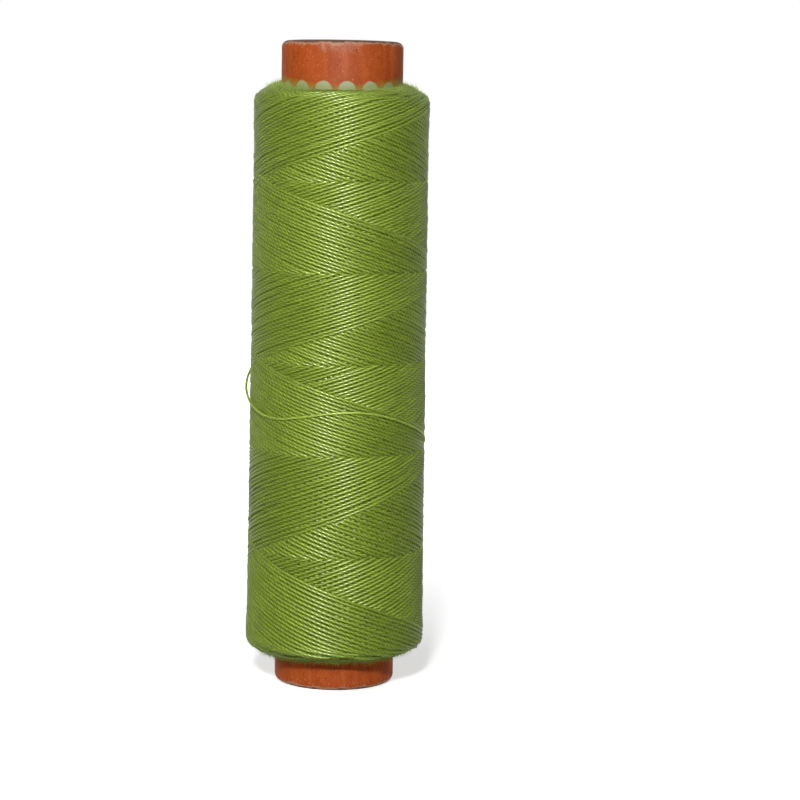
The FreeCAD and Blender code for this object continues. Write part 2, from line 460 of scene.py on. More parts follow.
# %% Package form
SIDE_RADIUS = 12.38
SIDE_TAPER, TAPER_FROM = 0.0052, 8.0
BULGE, BULGE_FROM_END, BULGE_LENGTH = 0.10, 2.4, 3.0
ROLL_BELOW_END = [-0.55, -0.25, 0.12, 0.48, 0.92, 1.45, 2.10]
ROLL_INSET = [3.72, 2.62, 1.62, 0.92, 0.42, 0.12, 0.0]
ROLL_DEPTH, ROLL_WIDTH = ROLL_BELOW_END[-1], ROLL_INSET[0]
RIPPLES = ((0.07, 5, 1.0), (0.05, 11, 0.0))
TOP_DROP, TOP_WAVES = 0.42, ((1.0, -0.10, 0.50), (2.0, 0.50, -0.10))
FOOT_DROP, FOOT_LEAN, FOOT_LEAN_AT = 0.15, 0.30, 2.0


def winding_end(top):
    """The height of one end of the winding, and the sense in which it faces."""
    return (WINDING_TOP, 1.0) if top else (WINDING_FOOT, -1.0)


def below_end(height, top):
    end, sense = winding_end(top)
    return sense * (end - height)


def package_radius(height):
    radius = SIDE_RADIUS - SIDE_TAPER * (height - TAPER_FROM)
    for top in (True, False):
        below = below_end(height, top)
        radius = radius + BULGE * np.exp(-(((below - BULGE_FROM_END) / BULGE_LENGTH) ** 2))
        radius = radius - np.interp(below, ROLL_BELOW_END, ROLL_INSET)
    return radius


def roll_below_end(inset):
    """How far below the winding's end the roll is at an inset from its side."""
    return np.interp(-inset, [-v for v in ROLL_INSET], ROLL_BELOW_END)


def uneven(theta, top):
    """How much further than its mean the winding reaches at the tube, in mm, round the spool."""
    reach = sum(size * np.sin(waves * theta + start) for size, waves, start in RIPPLES)
    if not top:
        return reach + FOOT_LEAN * np.cos(theta - FOOT_LEAN_AT) - FOOT_DROP
    reach = reach - TOP_DROP
    for waves, cosine, sine in TOP_WAVES:
        reach = reach + (cosine * np.cos(waves * theta) + sine * np.sin(waves * theta))
    return reach


def reach_at(inset, theta, top):
    """The unevenness at an inset from the side: all of it at the tube and none on the side."""
    return inset / ROLL_WIDTH * uneven(theta, top)


def settle_end(height, theta):
    """Moves points near each end by the unevenness there."""
    for top in (True, False):
        inset = np.interp(below_end(height, top), ROLL_BELOW_END, ROLL_INSET)
        height = height + winding_end(top)[1] * reach_at(inset, theta, top)
    return height


print("package radius at mid-height:", round(float(package_radius(TUBE_LENGTH / 2)), 2))

# %% [markdown]
# How the package is wound: the tube turns while a guide carries the thread up and down. So the thread climbs
# at one steady slope, turns back near the end, and comes down crossing what it laid before. Each round trip
# ends a little further round than it began, by one thread's width, so the trips lie side by side. After
# fifty of them the whole package is covered once in both directions.
#
# At any place the strand that was laid later lies on top. That alone draws the pattern of the package: level
# chevrons where the two directions are equally old, and slanting edges where the newest strand lies beside
# the oldest. The whole cover could be fifty copies of one trip, but then none would dive under the others,
# so the path is worked out as one thread, sample by sample.

# %% Winding values
PITCH = 24.7
ROUND_TRIPS = 50
CHEVRON_HEIGHT = 70.3
TURNS_TO_FOOT = 2.5
RAMP_TOP, RAMP_BOTTOM = 34.0, 26.0
FOOT_CLEARANCE = 0.2
PHASE_SAMPLES = 8001
STEP_ANGLE = 2 * math.pi / ROUND_TRIPS
FOOT_PHASE = -2 * math.pi * TURNS_TO_FOOT - STEP_ANGLE / 2
STROKE_ANGLE = math.pi - FOOT_PHASE
TRIP_ANGLE = 2 * STROKE_ANGLE


def build_phase():
    """The angle wound between the chevron and each height; the pitch grows a little towards the foot."""
    steady = 2 * math.pi / PITCH
    ramp_length = RAMP_TOP - RAMP_BOTTOM
    steady_part = steady * (CHEVRON_HEIGHT - RAMP_TOP + ramp_length / 2)
    foot_length = ramp_length / 2 + RAMP_BOTTOM - WINDING_FOOT - FOOT_CLEARANCE
    foot_rate = (-FOOT_PHASE - steady_part) / foot_length
    heights = np.linspace(0.0, TUBE_LENGTH, PHASE_SAMPLES)
    share = np.clip((RAMP_TOP - heights) / ramp_length, 0.0, 1.0)
    rate = steady + (foot_rate - steady) * share * share * (3 - 2 * share)
    phase = np.concatenate([[0.0], np.cumsum((rate[1:] + rate[:-1]) / 2 * np.diff(heights))])
    print("pitch", PITCH, "mm, near the foot", round(2 * math.pi / foot_rate, 1), "mm")
    return heights, phase - np.interp(CHEVRON_HEIGHT, heights, phase)


phase_heights, phase_values = build_phase()

# %% [markdown]
# No thread lies perfectly level. One helper wanders gently all along it, and one gives each stroke of the
# guide a value of its own. Noise on each sample would look like rough thread instead. Both draw from a
# seeded source, so every run winds the same package.

# %% Small unevenness
CHANGE_OVER = 0.16


def wander(rng, count, spacing, amount):
    """A line that wanders gently: one random value every so many samples."""
    knots = rng.normal(0.0, amount, count // spacing + 3)
    return np.interp(np.arange(count) / spacing, np.arange(len(knots)), knots)


def per_stroke(rng, local, stroke, amount):
    """A value of its own for each stroke, changing over near the turning points."""
    values = rng.normal(0.0, amount, 2 * ROUND_TRIPS + 2)
    inside = np.mod(local, STROKE_ANGLE) / STROKE_ANGLE
    before = np.clip(0.5 - inside / CHANGE_OVER, 0.0, 0.5)
    after = np.clip(0.5 - (1.0 - inside) / CHANGE_OVER, 0.0, 0.5)
    here = values[stroke] * (1 - before - after)
    return here + values[np.maximum(stroke - 1, 0)] * before + values[stroke + 1] * after


# %% [markdown]
# Each sample knows its trip, its stroke and how far the guide has climbed, with the corner at each turning
# point rounded. Where two strands cross, their ages tell which lies on top; the other is one step lower.

# %% Wind the thread
WINDING_SEED = 7
SAMPLES_PER_CROSSING = 2
EDGE_OFFSET = 1.068
TURN_BACK_DEG = (26.0, 78.0)
STRAND_RADIUS, STRAND_FLATNESS = 0.230, 0.90
LEVEL_STEP, LEVEL_CHANGE = 0.21, (0.25, 0.50, 0.25)
HEIGHT_WANDER, RADIUS_WANDER = ((50, 0.030), (9, 0.014)), (30, 0.015)
STROKE_HEIGHT, STROKE_RADIUS = 0.03, 0.02
TAIL_SAMPLES, TAIL_DEPTH = 6.0, 0.7


def turned_back(distance, width):
    """The distance from a turning point with its corner rounded over a width."""
    inside = np.abs(distance) < width / 2
    return np.where(inside, (distance**2 + width**2 / 4) / width, np.abs(distance))


def guide_climb(rng, trip, local, rising):
    """The angle wound above the foot at each sample; each turning point is rounded by its own width."""
    widths = np.radians(rng.uniform(*TURN_BACK_DEG, 2 * ROUND_TRIPS + 1))
    from_top = turned_back(local - STROKE_ANGLE, widths[2 * trip + 1])
    at_foot = np.where(rising, 2 * trip, 2 * trip + 2)
    from_foot = turned_back(np.where(rising, local, TRIP_ANGLE - local), widths[at_foot])
    return np.where(from_foot < STROKE_ANGLE / 2, from_foot, STROKE_ANGLE - from_top)


def on_top(theta, phase, trip, rising):
    """1 where a sample lies over the strand that it crosses and 0 where it lies under, softly changing."""
    rising_age = np.mod(theta - FRONT - phase + EDGE_OFFSET, 2 * math.pi)
    falling_age = np.mod(theta - FRONT + phase + EDGE_OFFSET, 2 * math.pi)
    over = np.where(rising, falling_age < trip * STEP_ANGLE, rising_age < (trip + 1) * STEP_ANGLE)
    return np.convolve(over.astype(float), LEVEL_CHANGE, "same")


def wind_thread():
    """The path of the whole cover, the outward direction at each sample, and the samples in a trip."""
    rng = np.random.default_rng(WINDING_SEED)
    per_trip = int(round(TRIP_ANGLE / (STEP_ANGLE / 2 / SAMPLES_PER_CROSSING)))
    sample = np.arange(per_trip * ROUND_TRIPS + 1)
    wound = sample * (TRIP_ANGLE / per_trip)
    trip = np.minimum(sample // per_trip, ROUND_TRIPS - 1)
    local = wound - trip * TRIP_ANGLE
    rising = local < STROKE_ANGLE
    stroke = 2 * trip + np.where(rising, 0, 1)
    phase = FOOT_PHASE + guide_climb(rng, trip, local, rising)
    theta = wound + FRONT + FOOT_PHASE - EDGE_OFFSET + STEP_ANGLE / 2
    height = np.interp(phase, phase_values, phase_heights)
    for spacing, amount in HEIGHT_WANDER:
        height = height + wander(rng, len(sample), spacing, amount)
    height = height + per_stroke(rng, local, stroke, STROKE_HEIGHT)
    under = 1.0 - on_top(theta, phase, trip, rising)
    radius = package_radius(height) - STRAND_RADIUS * STRAND_FLATNESS - LEVEL_STEP * under
    radius = radius + wander(rng, len(sample), *RADIUS_WANDER)
    radius = radius + per_stroke(rng, local, stroke, STROKE_RADIUS)
    to_end = np.minimum(sample, sample[::-1]) / TAIL_SAMPLES
    radius = radius - TAIL_DEPTH * np.clip(1.0 - to_end, 0.0, 1.0)
    outward = outward_at(theta)
    points = outward * radius[:, None]
    points[:, 2] = settle_end(height, theta)
    return points, outward, per_trip


winding, winding_out, samples_per_trip = wind_thread()
winding_length = length_along(winding)
print("thread in the cover:", round(winding_length[-1] / 1000, 2), "m in", len(winding), "samples")

# %% [markdown]
# The cover is one unbroken thread. It is cut into five pieces of ten round trips, each small enough to
# handle, and every piece starts exactly where the one before ends.

# %% Cover pieces
COVER_PIECES = 5
TRIPS_PER_PIECE = ROUND_TRIPS // COVER_PIECES
STRAND_SIDES = 6

for number in range(COVER_PIECES):
    first = number * TRIPS_PER_PIECE * samples_per_trip
    last = first + TRIPS_PER_PIECE * samples_per_trip + 1
    radii = np.full(last - first, STRAND_RADIUS)
    stretch = (winding[first:last], winding_out[first:last], radii, winding_length[first])
    name = f"wound_turns_{number + 1}"
    piece = strands_to_mesh(name, [stretch], STRAND_SIDES, thread_finish, STRAND_FLATNESS)
    stands_for = ["surface_turns"] if number == 0 else []
    seat(piece, "thread", *stands_for)

# %% [markdown]
# Every earlier cover turned back on a thinner package, so the shoulder is a slope of old turning points.
# Only the crest of each turn shows: a flat arch of thread that comes up out of the package, runs level and
# goes down again. Rows of such arches climb from the side of the package to the tube.

# %% Shoulder turns
ARCH_ROWS, ARCHES_PER_ROW = 13, 28
ARCH_INSETS, ARCH_HALF_DEG = (0.70, 3.62), (14.0, 27.0)
ROW_SCATTER, ARCH_SCATTER = (0.1, 0.9), (-0.4, 0.4)
ARCH_SAMPLES, ARCH_BEND = 17, 1.4
STROKE_SLOPE = math.tan(math.radians(18.0))
NARROWEST_GAP, LEAST_STAND_OFF = 0.05, 0.8
ARCH_STARTS = (0.0, 900.0)


def shoulder_arches(top, seed):
    rng = np.random.default_rng(seed)
    end, sense = winding_end(top)
    widest = float(package_radius(end - sense * ROLL_DEPTH))
    slope_in = (widest - TUBE_RADIUS - NARROWEST_GAP) / ROLL_WIDTH
    least_radius = TUBE_RADIUS + STRAND_RADIUS * LEAST_STAND_OFF
    arches = []
    for row in range(ARCH_ROWS):
        for arch in range(ARCHES_PER_ROW):
            share = (row + rng.uniform(*ROW_SCATTER)) / ARCH_ROWS
            inset = ARCH_INSETS[0] + share * (ARCH_INSETS[1] - ARCH_INSETS[0])
            centre = 2 * math.pi * (arch + rng.uniform(*ARCH_SCATTER)) / ARCHES_PER_ROW
            half = math.radians(rng.uniform(*ARCH_HALF_DEG))
            swing = np.linspace(-half, half, ARCH_SAMPLES)
            theta = centre + swing
            radius = max(widest - inset * slope_in - STRAND_RADIUS, least_radius)
            crest = roll_below_end(inset) + STRAND_RADIUS * STRAND_FLATNESS
            below = crest + radius * STROKE_SLOPE * swing**2 / (ARCH_BEND * half)
            outward = outward_at(theta)
            points = outward * radius
            points[:, 2] = end + sense * (reach_at(inset, theta, top) - below)
            arches.append((points, outward, np.full(ARCH_SAMPLES, STRAND_RADIUS), rng.uniform(*ARCH_STARTS)))
    return arches


for end_name, is_top, seed in (("top", True, 11), ("foot", False, 12)):
    arches = shoulder_arches(is_top, seed)
    name = end_name + "_shoulder_turns"
    seat(strands_to_mesh(name, arches, STRAND_SIDES, thread_finish, STRAND_FLATNESS), "thread")

# %% [markdown]
# Thread below the outer cover only shows as shaded green between the strands. It is a lathe form: a circle
# is extruded ring by ring along the package's outline, just under the turns, and closed along the tube.

# %% Lathe
MERGE_WITHIN = 0.0005


def lathe(name, outline, segments, material):
    """A closed ring of rings: the outline's points are (radius, height), and the last joins the first."""
    bpy.ops.object.select_all(action="DESELECT")
    radius, height = outline[0]
    bpy.ops.mesh.primitive_circle_add(vertices=segments, radius=radius * MM, location=(0, 0, 0))
    piece = bpy.context.object
    piece.name = name
    bpy.ops.object.mode_set(mode="EDIT")
    bpy.ops.mesh.select_all(action="SELECT")
    bpy.ops.transform.translate(value=(0, 0, height * MM))
    for next_radius, next_height in [*outline[1:], outline[0]]:
        rise = (0, 0, (next_height - height) * MM)
        bpy.ops.mesh.extrude_region_move(TRANSFORM_OT_translate={"value": rise})
        scale = next_radius / radius
        bpy.ops.transform.resize(value=(scale, scale, 1.0), center_override=(0, 0, next_height * MM))
        radius, height = next_radius, next_height
    bpy.ops.mesh.select_all(action="SELECT")
    bpy.ops.mesh.remove_doubles(threshold=MERGE_WITHIN * MM)
    bpy.ops.mesh.normals_make_consistent(inside=False)
    bpy.ops.object.mode_set(mode="OBJECT")
    bpy.ops.object.shade_smooth()
    piece.data.materials.append(material)
    bpy.ops.object.select_all(action="DESELECT")
    print(name, len(piece.data.polygons), "faces")
    return piece


# %% [markdown]
# The outline follows the roll at the foot, the side, and the roll at the top. The finish is matt and only
# mottled, because no single thread can be made out down there. Its pure, fairly light green is painted
# light: it stands for the light that scatters through the strands into the gaps.

# %% Package core
CORE_SEGMENTS, CORE_SIDE_RINGS = 128, 12
CORE_INSET, CORE_OFF_TUBE = 0.44, 0.01
FOOT_ROLL_SINK, TOP_ROLL_SINK = 0.55, 0.75
FOOT_AT_TUBE_SINK, TOP_AT_TUBE_SINK = 0.60, 0.90
CORE_SIDE_FROM = 3.5
# painted light: a pure green for light scattered through the strands into the gaps below them
SHADE_GLOW_DEEP = (0.114, 0.194, 0.000)
SHADE_GLOW_LIGHT = (0.156, 0.252, 0.000)
SHADE_SCALE = 1400.0


def core_point(height, shift=0.0):
    """A point of the outline: just inside the package at a height, shifted up or down."""
    return float(package_radius(height)) - CORE_INSET, float(height + shift)


def core_outline():
    inner = TUBE_RADIUS + CORE_OFF_TUBE
    roll = ROLL_BELOW_END[1:]
    side_heights = np.linspace(WINDING_FOOT + CORE_SIDE_FROM, WINDING_TOP - CORE_SIDE_FROM, CORE_SIDE_RINGS)
    return [
        (inner, WINDING_FOOT + FOOT_AT_TUBE_SINK),
        *[core_point(WINDING_FOOT + below, FOOT_ROLL_SINK) for below in roll],
        *[core_point(height) for height in side_heights],
        *[core_point(WINDING_TOP - below, -TOP_ROLL_SINK) for below in reversed(roll)],
        (inner, WINDING_TOP - TOP_AT_TUBE_SINK),
    ]


def core_material():
    material, tree, shader = new_material("thread_in_shade")
    cloud = noise(tree, add_node(tree, "TexCoord").outputs["Object"], SHADE_SCALE)
    colour = lay_over(tree, SHADE_GLOW_DEEP, [(cloud, (0.35, 0.65), 1.0, SHADE_GLOW_LIGHT)])
    feed(tree, shader, {"Base Color": colour, "Roughness": 0.8, "Specular IOR Level": 0.1})
    return material


seat(lathe("package_core", core_outline(), CORE_SEGMENTS, core_material()), "thread", "thread_body")

# %% [markdown]
# One turn has slipped: it bows away from the package at the left, sags across the front over the other
# turns, and goes back under at the right. Its stations are the angle, the height, and how far it stands off
# the package. A smooth NURBS spline goes through their neighbourhood, and its points carry the strand.

# %% Loose turn
SLACK_STATIONS = [
    (118.0, 47.2, -0.45),
    (138.0, 46.2, 0.00),
    (158.0, 44.4, 0.40),
    (181.0, 41.4, 0.70),
    (204.0, 38.6, 0.36),
    (227.0, 37.7, 0.16),
    (250.0, 38.5, 0.14),
    (273.0, 39.3, 0.12),
    (296.0, 38.95, 0.14),
    (319.0, 37.4, 0.14),
    (342.0, 35.6, 0.10),
    (365.0, 33.4, 0.00),
    (388.0, 31.0, -0.45),
]
SLACK_RADIUS = 0.17
SLACK_SIDES, SLACK_RESOLUTION = 10, 14


def spline_points(control, resolution):
    """Points read from a smooth spline through the neighbourhood of the control points."""
    curve = bpy.data.curves.new("route", "CURVE")
    curve.dimensions = "3D"
    spline = curve.splines.new("NURBS")
    spline.points.add(len(control) - 1)
    for point, place in zip(spline.points, control):
        point.co = (*place, 1.0)
    spline.order_u = 3
    spline.use_endpoint_u = True
    spline.resolution_u = resolution
    holder = new_object("route", curve)
    bpy.context.view_layer.update()
    mesh = bpy.data.meshes.new_from_object(holder.evaluated_get(bpy.context.evaluated_depsgraph_get()))
    points = np.array([vertex.co[:] for vertex in mesh.vertices])
    bpy.data.objects.remove(holder)
    bpy.data.curves.remove(curve)
    bpy.data.meshes.remove(mesh)
    return points


def loose_turn():
    control = []
    for degrees, height, rise in SLACK_STATIONS:
        angle = math.radians(degrees)
        radius = float(package_radius(height)) + SLACK_RADIUS + rise
        control.append((radius * math.cos(angle), radius * math.sin(angle), height))
    points = spline_points(control, SLACK_RESOLUTION)
    outward = points * np.array([1.0, 1.0, 0.0])
    outward /= np.linalg.norm(outward, axis=1)[:, None]
    return [(points, outward, np.full(len(points), SLACK_RADIUS), 0.0)]


seat(strands_to_mesh("loose_turn", loose_turn(), SLACK_SIDES, loose_lit_finish), "thread", "slack_turn")

# %% [markdown]
# Spun thread is hairy. Single fibres stand off it, far thinner than a pixel, and together they soften the
# shoulder's edge against the paper. Those around the tube are longer and stand up in front of it. Blender's
# hair is no mesh and isn't exported, so each fibre is a bent three-sided strand that starts inside a turn.

# %% Thread fuzz
FUZZ_SEED = 21
FUZZ_AT_END, FUZZ_AT_TUBE, FUZZ_ON_SIDE = 5500, 4200, 5000
FUZZ_RADIUS, FUZZ_TAPER = 0.014, 0.6
FUZZ_LENGTH, FUZZ_LONG = (0.15, 0.50), 0.62
FUZZ_SIDES, FUZZ_POINTS = 3, 4
TUBE_INSETS = (1.5, 3.7)
END_CROWDING, SIDE_CROWDING = 0.8, 1.7
END_ROOT_BELOW, TUBE_ROOT_BELOW = 0.20, 0.05
END_ROOT_INSIDE, SIDE_ROOT_INSIDE = 0.10, 0.15
SIDE_FROM_END = 1.0
FIRST_OUT, FIRST_ROUND, FIRST_UP = (0.2, 1.2), 0.8, 0.4
BEND_BACK, BEND_ROUND, BEND_UP, BEND_SIZE = (0.0, 0.7), 0.8, 0.6, 0.6
RING_TURN = 0.01
FIBRE_STARTS = (0.0, 90.0)
UPRIGHT = np.array([0.0, 0.0, 1.0])


def end_roots(rng, top):
    """Places on one shoulder where fibres start: angle, radius, height, lean out and up, greatest length."""
    roots = []
    end, sense = winding_end(top)
    widest = float(package_radius(end - sense * ROLL_DEPTH))
    for number in range(FUZZ_AT_END + FUZZ_AT_TUBE):
        theta = rng.uniform(0.0, 2 * math.pi)
        if number < FUZZ_AT_END:
            inset = TUBE_INSETS[1] * rng.uniform() ** END_CROWDING
            lean, below, longest = inset / TUBE_INSETS[1], END_ROOT_BELOW, FUZZ_LENGTH[1]
        else:
            inset = rng.uniform(*TUBE_INSETS)
            lean, below, longest = 1.0, TUBE_ROOT_BELOW, FUZZ_LONG
        height = end + sense * (reach_at(inset, theta, top) - roll_below_end(inset) - below)
        roots.append((theta, widest - inset - END_ROOT_INSIDE, height, 1.0 - lean, sense * lean, longest))
    return roots


def side_roots(rng):
    """Places on the side of the package where fibres start, with the same six values."""
    roots = []
    reach = WINDING_TOP - WINDING_FOOT - 2 * SIDE_FROM_END
    for _ in range(FUZZ_ON_SIDE):
        height = WINDING_TOP - SIDE_FROM_END - reach * rng.uniform() ** SIDE_CROWDING
        radius = float(package_radius(height)) - SIDE_ROOT_INSIDE
        roots.append((rng.uniform(0.0, 2 * math.pi), radius, height, 1.0, 0.0, FUZZ_LENGTH[1]))
    return roots


def fuzz_strands(rng, roots):
    strands = []
    way = np.linspace(0.0, 1.0, FUZZ_POINTS)[:, None]
    radii = FUZZ_RADIUS * (1.0 - FUZZ_TAPER * way[:, 0])
    for theta, radius, height, out, up, longest in roots:
        axis = np.array([math.cos(theta), math.sin(theta), 0.0])
        around = np.array([-math.sin(theta), math.cos(theta), 0.0])
        surface = axis * out + UPRIGHT * up
        first = surface * rng.uniform(*FIRST_OUT)
        first += around * rng.normal(0.0, FIRST_ROUND) + UPRIGHT * rng.normal(0.0, FIRST_UP)
        bend = around * rng.normal(0.0, BEND_ROUND) + UPRIGHT * rng.normal(0.0, BEND_UP)
        bend -= surface * rng.uniform(*BEND_BACK)
        first, bend = first / np.linalg.norm(first), bend / np.linalg.norm(bend)
        length = rng.uniform(FUZZ_LENGTH[0], longest)
        path = length * (first * way + BEND_SIZE * bend * way**2)
        outward = np.tile(axis + RING_TURN * around, (FUZZ_POINTS, 1))
        points = axis * radius + UPRIGHT * height + path
        strands.append((points, outward, radii, rng.uniform(*FIBRE_STARTS)))
    return strands


# %% [markdown]
# A fibre is matt, and lighter or darker by its own place in the UV map. Its green is paler than the
# thread's: partly a single fibre's own lighter colour, partly painted sheen for the light haze that the fuzz
# shows along the package's edges. The fibres make three pieces, one for each shoulder and one for the side.

# %% Fuzz finish and pieces
# partly the fibres' own paler colour, partly painted sheen for the haze at the package's edges
FUZZ_DULL = (0.220, 0.320, 0.025)
FUZZ_PALE = (0.400, 0.490, 0.110)
FUZZ_SHADE_SCALE = 3.0


def fuzz_material():
    material, tree, shader = new_material("thread_fibre")
    along, _ = along_and_around(tree)
    shade = noise(tree, combined(tree, along), FUZZ_SHADE_SCALE, Detail=2.0, Roughness=0.5)
    colour = lay_over(tree, FUZZ_DULL, [(shade, (0.30, 0.70), 1.0, FUZZ_PALE)])
    feed(tree, shader, {"Base Color": colour, "Roughness": 0.6, "Specular IOR Level": 0.15})
    return material


fuzz_finish = fuzz_material()
fuzz_rng = np.random.default_rng(FUZZ_SEED)
fuzz_places = {"top_fuzz": end_roots(fuzz_rng, True), "foot_fuzz": end_roots(fuzz_rng, False)}
fuzz_places["side_fuzz"] = side_roots(fuzz_rng)
for fuzz_name, fuzz_roots in fuzz_places.items():
    seat(strands_to_mesh(fuzz_name, fuzz_strands(fuzz_rng, fuzz_roots), FUZZ_SIDES, fuzz_finish), "thread")

# %% [markdown]
# All the paper and board shares one effect: cloudy mottling, thin fibres lying in it, and small pale flecks.
# It is a node group, so that each material places it with its own fibre size. The fibres are the contour
# lines of a twisted noise: where the noise crosses one half, a thin line shows.

# %% Paper fibre group
MOTTLE_SCALE, FLECK_SCALE = 0.15, 1.7
LINE_FADE, FLECK_FADE = (0.035, 0.0), (0.60, 0.72)
FIBRE_MASKS = ("Mottle", "Fibre", "Fleck")


def paper_fibre_group():
    group = bpy.data.node_groups.new("paper_fibres", "ShaderNodeTree")
    group.interface.new_socket("Vector", in_out="INPUT", socket_type="NodeSocketVector")
    group.interface.new_socket("Fibres per metre", in_out="INPUT", socket_type="NodeSocketFloat")
    for name in FIBRE_MASKS:
        group.interface.new_socket(name, in_out="OUTPUT", socket_type="NodeSocketFloat")
    inside = group.nodes.new("NodeGroupInput")
    vector, scale = inside.outputs["Vector"], inside.outputs["Fibres per metre"]
    mottle = noise(group, vector, times(group, scale, MOTTLE_SCALE), Detail=4.0)
    line = noise(group, vector, scale, Detail=1.0, Roughness=0.5, Distortion=1.2)
    from_half = maths(group, "ABSOLUTE", maths(group, "SUBTRACT", line, 0.5))
    fibre = step_mask(group, from_half, *LINE_FADE)
    spots = noise(group, vector, times(group, scale, FLECK_SCALE), Detail=2.0, Roughness=0.7)
    fleck = step_mask(group, spots, *FLECK_FADE)
    outside = group.nodes.new("NodeGroupOutput")
    feed(group, outside, dict(zip(FIBRE_MASKS, (mottle, fibre, fleck))))
    return group


paper_fibres = paper_fibre_group()


def place_fibres(tree, vector, fibres_per_metre):
    inputs = {"Vector": vector, "Fibres per metre": fibres_per_metre}
    placed = add_node(tree, "Group", inputs, node_tree=paper_fibres)
    return [placed.outputs[name] for name in FIBRE_MASKS]


print("paper fibre group:", len(paper_fibres.nodes), "nodes")

# %% [markdown]
# The readings of a place on the tube steer the wear: the angle round it, its height, how far it is from the
# nearer end, and how far in from the outside. The corner of the rim is where the last two are equal. A
# cloudy mask makes any of them uneven, so that no wear ends in a straight line.

# %% Tube readings
def tube_readings(tree, place):
    """The angle round the tube and, in mm: the height, how far from the nearer end, and how far in."""
    split = add_node(tree, "SeparateXYZ", {0: place}).outputs
    angle = maths(tree, "ARCTAN2", split["Y"], split["X"])
    height = times(tree, split["Z"], 1.0 / MM)
    from_middle = maths(tree, "ABSOLUTE", maths(tree, "SUBTRACT", height, TUBE_LENGTH / 2))
    from_end = maths(tree, "SUBTRACT", TUBE_LENGTH / 2, from_middle)
    from_axis = length_of(tree, combined(tree, split["X"], split["Y"]))
    inward = times(tree, from_axis, -1.0 / MM, TUBE_RADIUS)
    return angle, height, from_end, inward


def made_uneven(tree, value, cloud, amount):
    return times(tree, maths(tree, "SUBTRACT", cloud, 0.5), amount, value)


def dress(material, *nodes):
    """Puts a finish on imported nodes, whose meshes stay as they are."""
    for node in nodes:
        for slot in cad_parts[node].material_slots:
            slot.material = material
    print(material.name, "on", ", ".join(nodes))


# %% [markdown]
# Three marks lie on the wrap: a plain row of round dots in off-white ink, half hidden under the thread;
# a green band right above the thread, partly lint that clings to the paper and partly a painted glow of
# the green light that the thread throws on it; and a worn patch at the front of the upper rim.
# Each could be painted on a picture, but a mask worked out from the readings is sharp at every size.

# %% Marks on the wrap
BORDER_DOTS, BORDER_TURN = 16, 0.30
BORDER_TOP, DOT_RADIUS = 83.5, 1.18
DOT_FADE, DOT_ROUGHER = (0.05, 0.25), 0.30
LINT_AND_GLOW_FADE, LINT_AND_GLOW_RAGGED = (1.25, 0.50), 1.2
ABOVE_FOOT_FADE = (-6.0, -4.0)
PATCH_ANGLE = math.radians(-94.5)
PATCH_SIDE_FADE, PATCH_DEPTH_FADE = (0.930, 0.985), (2.1, 1.0)
PATCH_ON_FIBRE, PATCH_LEAST = 0.55, 0.15


def border_mask(tree, angle, height, roughen):
    """Ink: a row of round dots on one line round the tube."""
    spacing = 2 * math.pi * TUBE_RADIUS / BORDER_DOTS
    turns = times(tree, angle, BORDER_DOTS / (2 * math.pi), BORDER_TURN)
    across = times(tree, maths(tree, "SUBTRACT", maths(tree, "FRACT", turns), 0.5), spacing)
    down = maths(tree, "SUBTRACT", BORDER_TOP - DOT_RADIUS, height)
    inside = maths(tree, "SUBTRACT", DOT_RADIUS, length_of(tree, combined(tree, across, down)))
    return step_mask(tree, times(tree, roughen, DOT_ROUGHER, inside), *DOT_FADE)


def lint_and_glow_mask(tree, angle, height, roughen):
    """Lint and painted glow, by the mm above the winding's upper edge, which rises and falls round the tube.
    """
    edge = WINDING_TOP - TOP_DROP
    for waves, cosine, sine in TOP_WAVES:
        turned = times(tree, angle, waves)
        edge = times(tree, maths(tree, "COSINE", turned), cosine, edge)
        edge = times(tree, maths(tree, "SINE", turned), sine, edge)
    above = maths(tree, "SUBTRACT", height, edge)
    near_edge = step_mask(tree, made_uneven(tree, above, roughen, LINT_AND_GLOW_RAGGED), *LINT_AND_GLOW_FADE)
    return times(tree, near_edge, step_mask(tree, above, *ABOVE_FOOT_FADE))


def worn_patch_mask(tree, angle, height, roughen):
    """A patch at the front of the upper rim where the colour is worn away, most of all on the fibres."""
    toward = maths(tree, "COSINE", maths(tree, "SUBTRACT", angle, PATCH_ANGLE))
    near_rim = step_mask(tree, maths(tree, "SUBTRACT", TUBE_LENGTH, height), *PATCH_DEPTH_FADE)
    patch = times(tree, step_mask(tree, toward, *PATCH_SIDE_FADE), near_rim)
    return times(tree, patch, times(tree, roughen, PATCH_ON_FIBRE, PATCH_LEAST))


# %% [markdown]
# The wrap is orange coated paper, nearly even, with faint fibres, pale streaks and flecks and a few dark
# specks. The marks lie over that. Its edge is rubbed: a pale pinkish band at the corner. Where it turns in
# over the rim it is dark brown. The layers come in the order in which the wear came.

# %% Wrap finish
PAPER_ORANGE = (0.400, 0.070, 0.010)
PAPER_DEEP = (0.310, 0.048, 0.005)
PAPER_PALE = (0.600, 0.200, 0.065)
PAPER_WORN = (0.430, 0.235, 0.150)
# dark brown where the wrap turns in over the rim
RIM_TURN_DARK = (0.130, 0.070, 0.045)
INK_WHITE = (0.340, 0.370, 0.210)
DARK_SPECK = (0.120, 0.030, 0.010)
# partly lint, partly painted glow of green light from the thread on the paper
LINT_AND_GLOW_GREEN = (0.230, 0.290, 0.030)
WRAP_FIBRES, PATCHY_SCALE, STREAK_SCALE, SPECK_SCALE = 3400.0, 900.0, 1100.0, 700.0
FIBRE_STRETCH, STREAK_STRETCH = (1.0, 1.0, 0.45), (1.0, 1.0, 0.12)
GRAIN_FADE, SPOTTED_FADE, RUBBED_FADE = (0.45, 0.60), (-1.80, -0.90), (-0.75, -0.30)
CORNER_RAGGED = 1.8
WRAP_ROUGHNESS, PATCHY_ROUGHER = 0.34, 0.25
FIBRE_HEIGHT, PATCHY_HEIGHT = 0.4, 0.8


